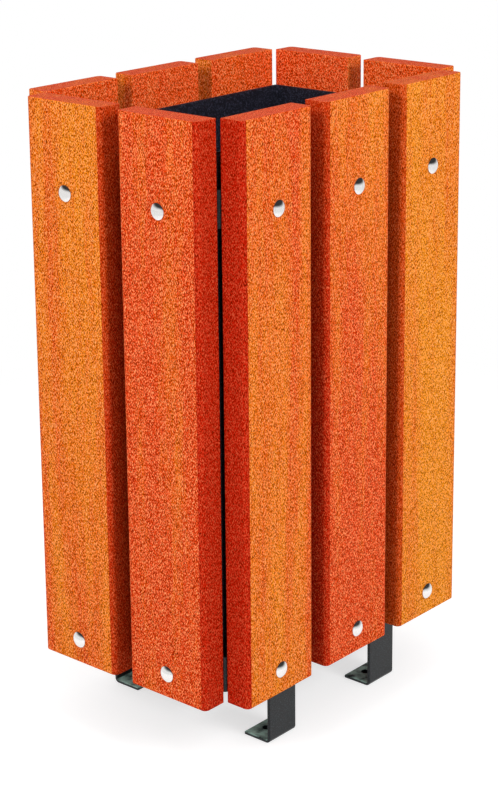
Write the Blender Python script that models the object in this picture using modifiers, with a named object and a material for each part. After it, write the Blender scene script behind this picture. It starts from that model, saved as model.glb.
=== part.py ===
"""Free-standing litter bin: ten hardwood slats bolted round a flat-bar steel frame on four
anchored feet, with a sheet-steel liner that lifts out by its wire bail.

Metres. +Z is up, the long sides face -Y (front) and +Y (rear), and the feet stand on z = 0.
"""

import math

import bmesh
import bpy
from mathutils import Matrix, Vector

# ---- driving dimensions ---------------------------------------------------------------

# Slats
SLAT_WIDTH = 0.122
SLAT_THICKNESS = 0.032
SLAT_LENGTH = 0.700
SLAT_GAP = 0.025  # between neighbours on one side
SLAT_EDGE_RADIUS = 0.0065  # the two long edges of the outer face
SLAT_ARRIS = 0.001  # every other edge
LONG_SIDE_SLATS = 3
SHORT_SIDE_SLATS = 2
CORNER_STEP = 0.003  # from a slat's side edge to the back of the slat round the corner
GROUND_GAP = 0.090  # from the ground to the bottom of the slats

# Coach bolts (M8 x 50) and flange nuts
BOLT_DIAMETER = 0.008
BOLT_LENGTH = 0.050
BOLT_HEAD_DIAMETER = 0.0206
BOLT_HEAD_HEIGHT = 0.0049
BOLT_HEAD_RIM = 0.0008  # height of the upright rim under the dome
BOLT_NECK_SIDE = 0.0084  # the square that keeps the bolt from turning in the wood
BOLT_NECK_LENGTH = 0.0045
BOLT_BELOW_SLAT_TOP = 0.108
BOLT_ABOVE_SLAT_BOTTOM = 0.030
NUT_ACROSS_FLATS = 0.013
NUT_HEIGHT = 0.008
NUT_FLANGE_DIAMETER = 0.0176
NUT_FLANGE_HEIGHT = 0.0022

# Frame: two bent hoops, four legs and two bars under the liner
HOOP_HEIGHT = 0.045
HOOP_THICKNESS = 0.005
HOOP_OUTER_RADIUS = 0.009  # at the four bends
HOOP_ABOVE_BOLTS = 0.005  # from the bolt line to the middle of the bar
LEG_WIDTH = 0.050
LEG_THICKNESS = 0.004
LEG_INNER_RADIUS = 0.002  # at the bend into the foot
LEG_TO_BOLT_LINE = 0.022  # from a leg's edge to the outer bolts' axis
FOOT_LENGTH = 0.041  # from the leg's outer face to the tip
FOOT_HOLE_DIAMETER = 0.011
FOOT_HOLE_TO_TIP = 0.015
SUPPORT_WIDTH = 0.030
SUPPORT_THICKNESS = 0.005

# Liner
LINER_WALL = 0.0015
LINER_CORNER_RADIUS = 0.004  # outside, at the folded upright corners
LINER_TO_BOLT_ENDS = 0.0025
LINER_BELOW_SLAT_TOP = 0.043
HEM_HEIGHT = 0.012
HEM_THICKNESS = 0.0017  # how far the folded hem stands out from the wall
DRAIN_HOLE_DIAMETER = 0.010
DRAIN_SPACING_X = 0.110
DRAIN_SPACING_Y = 0.120

# Bail
BAIL_WIRE_DIAMETER = 0.005
BAIL_BELOW_RIM = 0.026  # from the liner's rim to the pivots
BAIL_TO_LONG_WALL = 0.008  # what its cross bar clears the long walls by as it swings over
BAIL_TO_SHORT_WALL = 0.005  # what its arms clear the short walls by
BAIL_BEND_RADIUS = 0.006  # of the wire's centre line
BAIL_BUTTON_DIAMETER = 0.009
BAIL_BUTTON_THICKNESS = 0.0015

# Fits
SEAT_GAP = 0.0003  # between faces that rest on each other
HOLE_CLEARANCE = 0.0004  # all round a shank, neck or wire in its hole

# ---- worked out from them -------------------------------------------------------------

SLAT_PITCH = SLAT_WIDTH + SLAT_GAP
CORNER_DEPTH = SLAT_THICKNESS + CORNER_STEP
HALF_X = (LONG_SIDE_SLATS * SLAT_PITCH - SLAT_GAP) / 2 + CORNER_DEPTH
HALF_Y = (SHORT_SIDE_SLATS * SLAT_PITCH - SLAT_GAP) / 2 + CORNER_DEPTH
SLAT_TOP = GROUND_GAP + SLAT_LENGTH
BOLT_HEIGHTS = {
    "lower": GROUND_GAP + BOLT_ABOVE_SLAT_BOTTOM,
    "upper": SLAT_TOP - BOLT_BELOW_SLAT_TOP,
}
BOLT_RADIUS = BOLT_DIAMETER / 2

# Depths measured inwards from the slats' outer faces
HOOP_OUTSIDE = SLAT_THICKNESS + SEAT_GAP
HOOP_INSIDE = HOOP_OUTSIDE + HOOP_THICKNESS
LEG_OUTSIDE = HOOP_INSIDE + SEAT_GAP
LEG_INSIDE = LEG_OUTSIDE + LEG_THICKNESS
NUT_SEAT = HOOP_INSIDE + SEAT_GAP
LINER_OUTSIDE = BOLT_LENGTH - SEAT_GAP + LINER_TO_BOLT_ENDS
LINER_INSIDE = LINER_OUTSIDE + LINER_WALL

HOOP_BOTTOMS = {
    level: height + HOOP_ABOVE_BOLTS - HOOP_HEIGHT / 2
    for level, height in BOLT_HEIGHTS.items()
}
LEG_TOP = HOOP_BOTTOMS["upper"] + HOOP_HEIGHT
LEG_X = SLAT_PITCH - LEG_TO_BOLT_LINE - LEG_WIDTH / 2
SUPPORT_BOTTOM = HOOP_BOTTOMS["lower"]
LINER_BOTTOM = SUPPORT_BOTTOM + SUPPORT_THICKNESS + SEAT_GAP
LINER_TOP = SLAT_TOP - LINER_BELOW_SLAT_TOP
PIVOT_HEIGHT = LINER_TOP - BAIL_BELOW_RIM

ARC_STEPS = 4  # facets in a quarter turn of a bend or an edge
ROUND_STEPS = 14  # facets round a bolt
CUT_OVERRUN = 0.01  # how far a cutter runs past what it cuts


# ---- scene and materials --------------------------------------------------------------


def clear_scene():
    for obj in list(bpy.data.objects):
        bpy.data.objects.remove(obj, do_unlink=True)


def new_collection(name):
    collection = bpy.data.collections.new(name)
    bpy.context.scene.collection.children.link(collection)
    return collection


def new_material(name, colour, roughness, metallic):
    material = bpy.data.materials.new(name)
    material.use_nodes = True
    shader = material.node_tree.nodes["Principled BSDF"]
    shader.inputs["Base Color"].default_value = (*colour, 1.0)
    shader.inputs["Roughness"].default_value = roughness
    shader.inputs["Metallic"].default_value = metallic
    material.diffuse_color = (*colour, 1.0)
    return material


def add_object(name, mesh, collection, material=None):
    obj = bpy.data.objects.new(name, mesh)
    collection.objects.link(obj)
    if material and not mesh.materials:
        mesh.materials.append(material)
    return obj


def add_cutter(name, mesh):
    cutter = add_object(name, mesh, CUTTERS)
    cutter.hide_render = True
    cutter.display_type = "WIRE"
    return cutter


# ---- modelling helpers ----------------------------------------------------------------


def mesh_from(bm, name):
    bmesh.ops.recalc_face_normals(bm, faces=bm.faces)
    mesh = bpy.data.meshes.new(name)
    bm.to_mesh(mesh)
    bm.free()
    return mesh


def finished_mesh(obj):
    """The object's mesh with its modifiers applied, its doubles merged and its faces outwards."""
    graph = bpy.context.evaluated_depsgraph_get()
    mesh = bpy.data.meshes.new_from_object(obj.evaluated_get(graph))
    bm = bmesh.new()
    bm.from_mesh(mesh)
    bmesh.ops.remove_doubles(bm, verts=bm.verts, dist=1e-6)
    bmesh.ops.recalc_face_normals(bm, faces=bm.faces)
    bm.to_mesh(mesh)
    bm.free()
    return mesh


def box_mesh(name, low, high):
    """A box between two opposite corners."""
    low = Vector(low)
    high = Vector(high)
    bm = bmesh.new()
    bmesh.ops.create_cube(bm, size=1.0)
    bmesh.ops.scale(bm, vec=high - low, verts=bm.verts)
    bmesh.ops.translate(bm, vec=(low + high) / 2, verts=bm.verts)
    return mesh_from(bm, name)


def joined_mesh(name, meshes):
    """One mesh of several closed bodies, which cuts as they would together."""
    bm = bmesh.new()
    for mesh in meshes:
        bm.from_mesh(mesh)
    return mesh_from(bm, name)


def rod_mesh(name, radius, start, end, sides):
    """A round bar between two points, or a hexagonal one with six sides."""
    start = Vector(start)
    end = Vector(end)
    along = end - start
    bm = bmesh.new()
    bmesh.ops.create_cone(
        bm,
        cap_ends=True,
        segments=sides,
        radius1=radius,
        radius2=radius,
        depth=along.length,
    )
    turn = along.to_track_quat("Z", "Y").to_matrix().to_4x4()
    bmesh.ops.transform(
        bm, matrix=Matrix.Translation((start + end) / 2) @ turn, verts=bm.verts
    )
    return mesh_from(bm, name)


def boolean(obj, other, operation="DIFFERENCE"):
    modifier = obj.modifiers.new(f"{operation.lower()}_{other.name}", "BOOLEAN")
    modifier.operation = operation
    modifier.solver = "EXACT"
    modifier.object = other


def turned_mesh(name, profile):
    """A closed profile of (radius, y) points turned about the Y axis."""
    bm = bmesh.new()
    points = [bm.verts.new((radius, along, 0)) for radius, along in profile]
    for first, second in zip(points, points[1:]):
        bm.edges.new((first, second))
    mesh = bpy.data.meshes.new(name)
    bm.to_mesh(mesh)
    bm.free()
    turned = add_cutter(f"{name}_profile", mesh)
    screw = turned.modifiers.new("turn", "SCREW")
    screw.axis = "Y"
    screw.steps = ROUND_STEPS
    screw.render_steps = ROUND_STEPS
    screw.use_merge_vertices = True
    screw.merge_threshold = 0.00001
    return finished_mesh(turned)


def rounded_rectangle(half_x, half_y, radius, z):
    """Points round a rectangle at height z whose four corners are arcs."""
    points = []
    for quarter, (side_x, side_y) in enumerate(((1, 1), (-1, 1), (-1, -1), (1, -1))):
        centre = Vector((side_x * (half_x - radius), side_y * (half_y - radius), z))
        for step in range(ARC_STEPS + 1):
            angle = (quarter + step / ARC_STEPS) * math.pi / 2
            reach = Vector((math.cos(angle), math.sin(angle), 0))
            points.append(centre + radius * reach)
    return points


def loft_mesh(name, rings, joined_ends):
    """Skins a row of rings. The ends are joined to each other, or else each is filled."""
    bm = bmesh.new()
    loops = [[bm.verts.new(point) for point in ring] for ring in rings]
    pairs = list(zip(loops, loops[1:]))
    if joined_ends:
        pairs.append((loops[-1], loops[0]))
    else:
        bm.faces.new(loops[0])
        bm.faces.new(loops[-1])
    for lower, upper in pairs:
        for i in range(len(lower)):
            bm.faces.new((lower[i - 1], lower[i], upper[i], upper[i - 1]))
    return mesh_from(bm, name)


def inset_ring(depth, radius, z):
    """A rounded rectangle that lies a depth inside the slats' outer faces."""
    return rounded_rectangle(HALF_X - depth, HALF_Y - depth, radius, z)


# ---- where the slats and bolts stand --------------------------------------------------


def side_offsets(count):
    """Slat centres along one side, from its left end as seen from outside."""
    return [(i - (count - 1) / 2) * SLAT_PITCH for i in range(count)]


def names_along(count, first, last):
    between = count - 2
    middles = ["middle"] if between == 1 else [f"middle_{i + 1}" for i in range(between)]
    return [first, *middles, last]


def slat_places():
    """(name, turn about Z, offset along the side, distance of the outer face) of each slat."""
    sides = (
        ("front", 0, LONG_SIDE_SLATS, HALF_Y, "left", "right"),
        ("right", 90, SHORT_SIDE_SLATS, HALF_X, "front", "rear"),
        ("rear", 180, LONG_SIDE_SLATS, HALF_Y, "right", "left"),
        ("left", 270, SHORT_SIDE_SLATS, HALF_X, "rear", "front"),
    )
    places = []
    for side, turn, count, distance, first, last in sides:
        names = names_along(count, first, last)
        for name, offset in zip(names, side_offsets(count)):
            places.append((f"{side}_{name}", math.radians(turn), offset, distance))
    return places


def put_on_side(obj, place, height):
    """Puts an object made for the front, its outer face on y = 0, on its own side."""
    _, turn, offset, distance = place
    spin = Matrix.Rotation(turn, 4, "Z")
    obj.location = spin @ Vector((offset, -distance, height))
    obj.rotation_euler = (0, 0, turn)


# ---- slats ----------------------------------------------------------------------------


def slat_blank():
    """A planed board, its outer face on y = 0 and its foot on z = 0."""
    low = (-SLAT_WIDTH / 2, 0, 0)
    high = (SLAT_WIDTH / 2, SLAT_THICKNESS, SLAT_LENGTH)
    bm = bmesh.new()
    bm.from_mesh(box_mesh("board", low, high))
    outer_edges = [
        edge
        for edge in bm.edges
        if all(abs(vert.co.y) < 1e-6 for vert in edge.verts)
        and edge.verts[0].co.x == edge.verts[1].co.x
    ]
    bmesh.ops.bevel(
        bm,
        geom=outer_edges,
        offset=SLAT_EDGE_RADIUS,
        segments=ARC_STEPS,
        profile=0.5,
        affect="EDGES",
    )
    blank = add_cutter("slat_blank", mesh_from(bm, "slat_blank"))
    arris = blank.modifiers.new("arris", "BEVEL")
    arris.width = SLAT_ARRIS
    arris.segments = 1
    arris.limit_method = "ANGLE"
    arris.angle_limit = math.radians(60)
    return blank


def bolt_bore(level):
    """What a bolt's way through a slat takes out: a round hole and a square socket."""
    local = BOLT_HEIGHTS[level] - GROUND_GAP
    hole = rod_mesh(
        f"{level}_slat_hole",
        BOLT_RADIUS + HOLE_CLEARANCE,
        (0, 0, local),
        (0, SLAT_THICKNESS + CUT_OVERRUN, local),
        ROUND_STEPS,
    )
    half = BOLT_NECK_SIDE / 2 + HOLE_CLEARANCE
    depth = BOLT_NECK_LENGTH + HOLE_CLEARANCE
    socket = box_mesh(
        f"{level}_slat_socket",
        (-half, -CUT_OVERRUN, local - half),
        (half, depth, local + half),
    )
    bore = add_cutter(f"{level}_slat_bore", hole)
    boolean(bore, add_cutter(socket.name, socket), "UNION")
    return finished_mesh(bore)


def drilled_slat():
    """The board with a way through it for each of its two bolts."""
    blank = slat_blank()
    bores = joined_mesh("slat_bores", [bolt_bore(level) for level in BOLT_HEIGHTS])
    boolean(blank, add_cutter("slat_bores", bores))
    return finished_mesh(blank)


def make_slats(material):
    mesh = drilled_slat()
    for place in slat_places():
        slat = add_object(f"{place[0]}_slat", mesh, BIN, material)
        put_on_side(slat, place, GROUND_GAP)


# ---- fasteners ------------------------------------------------------------------------


def dome_profile():
    """The crown of the head, from the axis to the rim: a slice of a sphere."""
    reach = BOLT_HEAD_DIAMETER / 2
    rise = BOLT_HEAD_HEIGHT - BOLT_HEAD_RIM
    ball = (reach**2 + rise**2) / (2 * rise)
    widest = math.asin(reach / ball)
    angles = [widest * step / ARC_STEPS for step in range(ARC_STEPS + 1)]
    centre = -SEAT_GAP - BOLT_HEAD_HEIGHT + ball
    return [(ball * math.sin(a), centre - ball * math.cos(a)) for a in angles]


def coach_bolt():
    """A domed bolt along +Y whose head's underside lies on the wood at y = 0."""
    end = BOLT_LENGTH - SEAT_GAP
    lead = BOLT_DIAMETER * 0.1
    profile = dome_profile() + [
        (BOLT_HEAD_DIAMETER / 2, -SEAT_GAP),
        (BOLT_RADIUS, -SEAT_GAP),
        (BOLT_RADIUS, end - lead),
        (BOLT_RADIUS - lead, end),
        (0, end),
    ]
    half = BOLT_NECK_SIDE / 2
    bolt = add_cutter("bolt_blank", turned_mesh("bolt", profile))
    neck_start = -SEAT_GAP - BOLT_HEAD_RIM
    neck = box_mesh(
        "bolt_neck", (-half, neck_start, -half), (half, BOLT_NECK_LENGTH, half)
    )
    boolean(bolt, add_cutter("bolt_neck", neck), "UNION")
    return finished_mesh(bolt)


def flange_nut():
    """A hexagon nut along +Y on its own washer face, which seats on the hoop."""
    seat = NUT_SEAT
    end = NUT_SEAT + NUT_HEIGHT
    corner_radius = NUT_ACROSS_FLATS / math.sqrt(3)
    flange_radius = NUT_FLANGE_DIAMETER / 2
    flange = turned_mesh(
        "nut_flange",
        [
            (0, seat),
            (flange_radius, seat),
            (flange_radius, seat + NUT_FLANGE_HEIGHT / 2),
            (corner_radius * 0.97, seat + NUT_FLANGE_HEIGHT),
            (0, seat + NUT_FLANGE_HEIGHT),
        ],
    )
    overlap = NUT_FLANGE_HEIGHT / 2
    hexagon = rod_mesh(
        "nut_hexagon", corner_radius, (0, seat + overlap, 0), (0, end, 0), 6
    )
    thread = rod_mesh(
        "nut_thread",
        BOLT_RADIUS + HOLE_CLEARANCE,
        (0, seat - CUT_OVERRUN, 0),
        (0, end + CUT_OVERRUN, 0),
        ROUND_STEPS,
    )
    nut = add_cutter("nut_blank", flange)
    boolean(nut, add_cutter("nut_hexagon", hexagon), "UNION")
    boolean(nut, add_cutter("nut_thread", thread))
    return finished_mesh(nut)


def make_fasteners(bolt_material, nut_material):
    bolt_mesh = coach_bolt()
    nut_mesh = flange_nut()
    for place in slat_places():
        for level, height in BOLT_HEIGHTS.items():
            bolt = add_object(f"{place[0]}_{level}_bolt", bolt_mesh, BIN, bolt_material)
            put_on_side(bolt, place, height)
            nut = add_object(f"{place[0]}_{level}_nut", nut_mesh, BIN, nut_material)
            put_on_side(nut, place, height)


# ---- frame ----------------------------------------------------------------------------


def hoop_bores(level):
    """Ten short rods in one mesh, each through the hoop's wall on a bolt's axis."""
    rods = []
    for name, turn, offset, distance in slat_places():
        spin = Matrix.Rotation(turn, 3, "Z")
        outer = HOOP_OUTSIDE - CUT_OVERRUN - distance
        inner = HOOP_INSIDE + CUT_OVERRUN - distance
        start = spin @ Vector((offset, outer, BOLT_HEIGHTS[level]))
        end = spin @ Vector((offset, inner, BOLT_HEIGHTS[level]))
        radius = BOLT_RADIUS + HOLE_CLEARANCE
        rods.append(rod_mesh(f"{name}_{level}_bore", radius, start, end, ROUND_STEPS))
    return joined_mesh(f"{level}_hoop_bores", rods)


def make_hoop(level, material):
    """A flat bar bent on its face into a rectangle, drilled for the bolts."""
    bottom = HOOP_BOTTOMS[level]
    top = bottom + HOOP_HEIGHT
    inner_radius = HOOP_OUTER_RADIUS - HOOP_THICKNESS
    rings = [
        inset_ring(HOOP_OUTSIDE, HOOP_OUTER_RADIUS, bottom),
        inset_ring(HOOP_OUTSIDE, HOOP_OUTER_RADIUS, top),
        inset_ring(HOOP_INSIDE, inner_radius, top),
        inset_ring(HOOP_INSIDE, inner_radius, bottom),
    ]
    name = f"{level}_hoop"
    hoop = add_object(name, loft_mesh(name, rings, True), BIN, material)
    boolean(hoop, add_cutter(f"{level}_hoop_bores", hoop_bores(level)))


def leg_path():
    """The leg's outer face in the YZ plane, from its top down and round into the foot."""
    bend = LEG_INNER_RADIUS + LEG_THICKNESS
    points = [(0, LEG_TOP)]
    for step in range(ARC_STEPS + 1):
        angle = step / ARC_STEPS * math.pi / 2
        points.append((bend - bend * math.cos(angle), bend - bend * math.sin(angle)))
    points.append((FOOT_LENGTH, 0))
    return points


def leg_mesh():
    """A strip of flat bar with an L bend and an anchor hole, its outer face on y = 0."""
    bm = bmesh.new()
    half = LEG_WIDTH / 2
    row = [bm.verts.new((-half, y, z)) for y, z in leg_path()]
    edges = [bm.edges.new(pair) for pair in zip(row, row[1:])]
    widened = bmesh.ops.extrude_edge_only(bm, edges=edges)["geom"]
    new_verts = [item for item in widened if isinstance(item, bmesh.types.BMVert)]
    bmesh.ops.translate(bm, vec=(LEG_WIDTH, 0, 0), verts=new_verts)
    for face in bm.faces:
        face.normal_update()
        if face.normal.y > 1e-6 or face.normal.z > 1e-6:
            face.normal_flip()
    mesh = bpy.data.meshes.new("leg_strip")
    bm.to_mesh(mesh)
    bm.free()
    strip = add_cutter("leg_strip", mesh)
    thickness = strip.modifiers.new("bar", "SOLIDIFY")
    thickness.thickness = LEG_THICKNESS
    thickness.offset = -1
    thickness.use_even_offset = True
    hole_y = FOOT_LENGTH - FOOT_HOLE_TO_TIP
    hole = rod_mesh(
        "anchor_hole",
        FOOT_HOLE_DIAMETER / 2,
        (0, hole_y, -CUT_OVERRUN),
        (0, hole_y, LEG_THICKNESS + CUT_OVERRUN),
        ROUND_STEPS,
    )
    boolean(strip, add_cutter("anchor_hole", hole))
    return finished_mesh(strip)


def make_legs(material):
    mesh = leg_mesh()
    face = HALF_Y - LEG_OUTSIDE
    sides = (("front", 0, "left", "right"), ("rear", 180, "right", "left"))
    for side, turn, first, last in sides:
        for hand, offset in ((first, -LEG_X), (last, LEG_X)):
            leg = add_object(f"{side}_{hand}_leg", mesh, BIN, material)
            put_on_side(leg, (leg.name, math.radians(turn), offset, face), 0)


def make_supports(material):
    """Two bars from a front leg to the rear leg behind it, which carry the liner."""
    reach = HALF_Y - LEG_INSIDE - SEAT_GAP
    half = SUPPORT_WIDTH / 2
    low = (-half, -reach, SUPPORT_BOTTOM)
    high = (half, reach, SUPPORT_BOTTOM + SUPPORT_THICKNESS)
    mesh = box_mesh("liner_support", low, high)
    for hand, x in (("left", -LEG_X), ("right", LEG_X)):
        support = add_object(f"{hand}_liner_support", mesh, BIN, material)
        support.location.x = x


# ---- liner ----------------------------------------------------------------------------


def liner_rings():
    """Rings up the outside, over the folded hem and down the inside to the floor."""
    inner_radius = LINER_CORNER_RADIUS - LINER_WALL
    hem_radius = LINER_CORNER_RADIUS + HEM_THICKNESS
    hem_outside = LINER_OUTSIDE - HEM_THICKNESS
    roll = (HEM_THICKNESS + LINER_WALL) / 4
    fold = HEM_THICKNESS / 2
    return [
        inset_ring(LINER_OUTSIDE, LINER_CORNER_RADIUS, LINER_BOTTOM),
        inset_ring(LINER_OUTSIDE, LINER_CORNER_RADIUS, LINER_TOP - HEM_HEIGHT),
        inset_ring(hem_outside, hem_radius, LINER_TOP - HEM_HEIGHT + fold),
        inset_ring(hem_outside, hem_radius, LINER_TOP - roll),
        inset_ring(hem_outside + roll, hem_radius - roll, LINER_TOP),
        inset_ring(LINER_INSIDE - roll, inner_radius + roll, LINER_TOP),
        inset_ring(LINER_INSIDE, inner_radius, LINER_TOP - roll),
        inset_ring(LINER_INSIDE, inner_radius, LINER_BOTTOM + LINER_WALL),
    ]


def drain_bores():
    """Four rods through the liner's floor."""
    rods = []
    low = LINER_BOTTOM - CUT_OVERRUN
    high = LINER_BOTTOM + LINER_WALL + CUT_OVERRUN
    for x in (-DRAIN_SPACING_X / 2, DRAIN_SPACING_X / 2):
        for y in (-DRAIN_SPACING_Y / 2, DRAIN_SPACING_Y / 2):
            radius = DRAIN_HOLE_DIAMETER / 2
            rods.append(rod_mesh("drain", radius, (x, y, low), (x, y, high), ROUND_STEPS))
    return rods


def pivot_bores():
    """A short rod through each short wall of the liner, on the bail's axis."""
    rods = []
    radius = BAIL_WIRE_DIAMETER / 2 + HOLE_CLEARANCE
    outer = HALF_X - LINER_OUTSIDE + CUT_OVERRUN
    inner = HALF_X - LINER_INSIDE - CUT_OVERRUN
    for side in (-1, 1):
        start = (side * inner, 0, PIVOT_HEIGHT)
        end = (side * outer, 0, PIVOT_HEIGHT)
        rods.append(rod_mesh("bail_hole", radius, start, end, ROUND_STEPS))
    return rods


def make_liner(material):
    """A folded sheet box with a hemmed rim, drain holes and two holes for the bail."""
    liner = add_object("liner", loft_mesh("liner", liner_rings(), False), BIN, material)
    bores = joined_mesh("liner_bores", drain_bores() + pivot_bores())
    boolean(liner, add_cutter("liner_bores", bores))
    return liner


# ---- bail -----------------------------------------------------------------------------


def rounded_path(corners, radius):
    """A path through the corners, each turned by an arc that starts square to its leg."""
    points = [corners[0]]
    for before, corner, after in zip(corners, corners[1:], corners[2:]):
        back = (before - corner).normalized()
        ahead = (after - corner).normalized()
        centre = corner + radius * (back + ahead)
        for step in range(ARC_STEPS + 1):
            angle = step / ARC_STEPS * math.pi / 2
            spoke = -ahead * math.cos(angle) - back * math.sin(angle)
            points.append(centre + radius * spoke)
    points.append(corners[-1])
    return points


def bail_corners():
    """Button, left arm, cross bar, right arm, button, hanging down from the pivots at z = 0."""
    wire = BAIL_WIRE_DIAMETER / 2
    end_x = HALF_X - LINER_OUTSIDE + SEAT_GAP + BAIL_BUTTON_THICKNESS / 2
    arm_x = HALF_X - LINER_INSIDE - BAIL_TO_SHORT_WALL - wire
    drop = HALF_Y - LINER_INSIDE - BAIL_TO_LONG_WALL - wire
    return [
        Vector((-end_x, 0, 0)),
        Vector((-arm_x, 0, 0)),
        Vector((-arm_x, 0, -drop)),
        Vector((arm_x, 0, -drop)),
        Vector((arm_x, 0, 0)),
        Vector((end_x, 0, 0)),
    ]


def bail_wire():
    curve = bpy.data.curves.new("bail_wire", "CURVE")
    curve.dimensions = "3D"
    curve.bevel_depth = BAIL_WIRE_DIAMETER / 2
    curve.bevel_resolution = 3
    curve.use_fill_caps = True
    spline = curve.splines.new("POLY")
    path = rounded_path(bail_corners(), BAIL_BEND_RADIUS)
    spline.points.add(len(path) - 1)
    for point, place in zip(spline.points, path):
        point.co = (*place, 1)
    wire = bpy.data.objects.new("bail_wire", curve)
    CUTTERS.objects.link(wire)
    wire.hide_render = True
    return finished_mesh(wire)


def make_bail(material, liner):
    """Bent wire through the short walls, with an upset button outside each. Origin: its axis."""
    bail = add_object("bail", bail_wire(), BIN, material)
    for hand, sign in (("left", -1), ("right", 1)):
        inner = HALF_X - LINER_OUTSIDE + SEAT_GAP
        outer = inner + BAIL_BUTTON_THICKNESS
        start = (sign * inner, 0, 0)
        end = (sign * outer, 0, 0)
        name = f"{hand}_button"
        mesh = rod_mesh(name, BAIL_BUTTON_DIAMETER / 2, start, end, ROUND_STEPS)
        button = add_cutter(name, mesh)
        button.location.z = PIVOT_HEIGHT
        boolean(bail, button, "UNION")
    bail.location.z = PIVOT_HEIGHT
    bail.parent = liner


# ---- the whole bin --------------------------------------------------------------------


def main():
    hardwood = new_material("oiled_hardwood", (0.72, 0.13, 0.03), 0.45, 0.0)
    bolt_steel = new_material("polished_steel", (0.80, 0.80, 0.80), 0.18, 1.0)
    nut_steel = new_material("zinc_plated_steel", (0.62, 0.64, 0.66), 0.35, 1.0)
    frame_paint = new_material("frame_powder_coat", (0.022, 0.026, 0.032), 0.35, 0.0)
    liner_paint = new_material("liner_powder_coat", (0.022, 0.024, 0.034), 0.40, 0.0)
    wire_steel = new_material("galvanised_wire", (0.45, 0.47, 0.49), 0.35, 1.0)
    make_slats(hardwood)
    make_fasteners(bolt_steel, nut_steel)
    for level in BOLT_HEIGHTS:
        make_hoop(level, frame_paint)
    make_legs(frame_paint)
    make_supports(frame_paint)
    liner = make_liner(liner_paint)
    make_bail(wire_steel, liner)


clear_scene()
BIN = new_collection("litter_bin")
CUTTERS = new_collection("cutters")
CUTTERS.hide_render = True
main()
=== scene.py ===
"""Dresses the packed litter bin: ten oiled hardwood slats on a powder-coated flat-bar frame, with
coach bolts and flange nuts, and a hemmed sheet-steel liner with its wire bail.

Metres, in the frame of the CAD part: +Z is up and the feet stand on z = 0. Every piece is a
surface worked out with numpy, and takes its size and place from the solid that it stands for.
"""

import math

import bmesh
import bpy
import numpy as np
from bpy.props import FloatProperty, FloatVectorProperty, IntProperty, PointerProperty
from mathutils import Matrix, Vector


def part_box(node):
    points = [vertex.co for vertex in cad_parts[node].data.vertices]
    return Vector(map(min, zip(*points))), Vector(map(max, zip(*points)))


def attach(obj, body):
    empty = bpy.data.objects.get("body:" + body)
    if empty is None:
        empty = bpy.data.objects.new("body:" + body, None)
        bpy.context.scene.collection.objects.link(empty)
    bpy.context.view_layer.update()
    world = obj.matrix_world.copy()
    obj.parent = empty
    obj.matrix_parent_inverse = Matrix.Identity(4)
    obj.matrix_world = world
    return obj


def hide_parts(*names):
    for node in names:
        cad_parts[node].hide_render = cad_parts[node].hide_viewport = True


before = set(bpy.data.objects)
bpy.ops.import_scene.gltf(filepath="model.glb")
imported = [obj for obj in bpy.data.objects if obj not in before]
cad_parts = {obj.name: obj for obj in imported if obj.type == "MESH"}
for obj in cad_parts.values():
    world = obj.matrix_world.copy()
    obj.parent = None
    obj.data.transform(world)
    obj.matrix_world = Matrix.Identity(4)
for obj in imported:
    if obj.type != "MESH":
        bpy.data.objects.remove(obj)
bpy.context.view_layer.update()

bl_info = {
    "name": "Litter Bin",
    "version": (1, 0, 0),
    "blender": (4, 5, 0),
    "location": "3D View > Sidebar > Litter Bin",
    "description": "Builds and finishes a slatted litter bin round its steel frame",
    "category": "Add Mesh",
}


# ---- colours ----


def linear(code):
    """Turns an sRGB hex code into linear red, green and blue."""
    values = np.array([int(code[i : i + 2], 16) for i in (0, 2, 4)]) / 255
    low = values / 12.92
    high = ((values + 0.055) / 1.055) ** 2.4
    return tuple(np.where(values <= 0.04045, low, high).tolist())


# ---- sizes read from the solids ----

SIDE_TURNS = {"front": 0.0, "right": 90.0, "rear": 180.0, "left": 270.0}
SLAT_NODES, BOLT_NODES, NUT_NODES, LEG_NODES, SUPPORT_NODES, HOOP_NODES = (
    sorted(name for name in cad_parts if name.endswith(word))
    for word in ("_slat", "_bolt", "_nut", "_leg", "_support", "_hoop"))


def corners(node):
    """Lowest and highest corner of a node, as arrays."""
    low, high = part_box(node)
    return np.array(low), np.array(high)


def size_of(node):
    low, high = corners(node)
    return high - low


SLAT_WIDTH, SLAT_THICKNESS, SLAT_LENGTH = size_of("front_middle_slat").tolist()
BOLT_HEIGHTS = [corners(f"front_middle_{level}_bolt") for level in ("lower", "upper")]
BOLT_HEIGHTS = [float((low[2] + high[2]) / 2) for low, high in BOLT_HEIGHTS]

HEAD_RADIUS = 0.0103
HEAD_HEIGHT = 0.0049
HEAD_RIM = 0.0008  # height of the upright rim under the dome
NECK_HALF = 0.0042
NECK_LENGTH = 0.0045
SHANK_RADIUS = 0.004
ROLLED_SHANK = SHANK_RADIUS * 0.93  # plain part, rolled down before the thread
THREAD_DEPTH = 0.00055
HOLE_CLEARANCE = 0.0004  # round a bolt's shank and neck
BAR_THICKNESS = 0.005  # of the hoops
HOOP_BEND = 0.009  # outside radius of a hoop's corners
STRAP_THICKNESS = 0.004  # of the legs
STRAP_BEND = 0.006  # outside radius of the bend into the foot
ANCHOR_RADIUS = 0.0055
ANCHOR_TO_TIP = 0.015
DRAIN_RADIUS = 0.005
DRAIN_PLACE = (0.055, 0.060)
PIVOT_BELOW_RIM = 0.026
PIVOT_RADIUS = 0.0029
HEM = 0.0017  # how far the liner's hem stands out from the wall
PIVOT_WINDOW = 0.0042  # half widths of the windows that the liner's holes are cut in
DRAIN_WINDOW = 0.0075


# ---- settings ----


def colour_setting(name, description, code):
    """A colour property whose default is an sRGB hex code."""
    return FloatVectorProperty(name=name, description=description, default=linear(code),
                               subtype="COLOR", size=3, min=0.0, max=1.0)


def length_setting(name, description, default, low, high):
    """A length property in metres, with its limits."""
    return FloatProperty(name=name, description=description, default=default,
                         min=low, max=high, unit="LENGTH")


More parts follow.
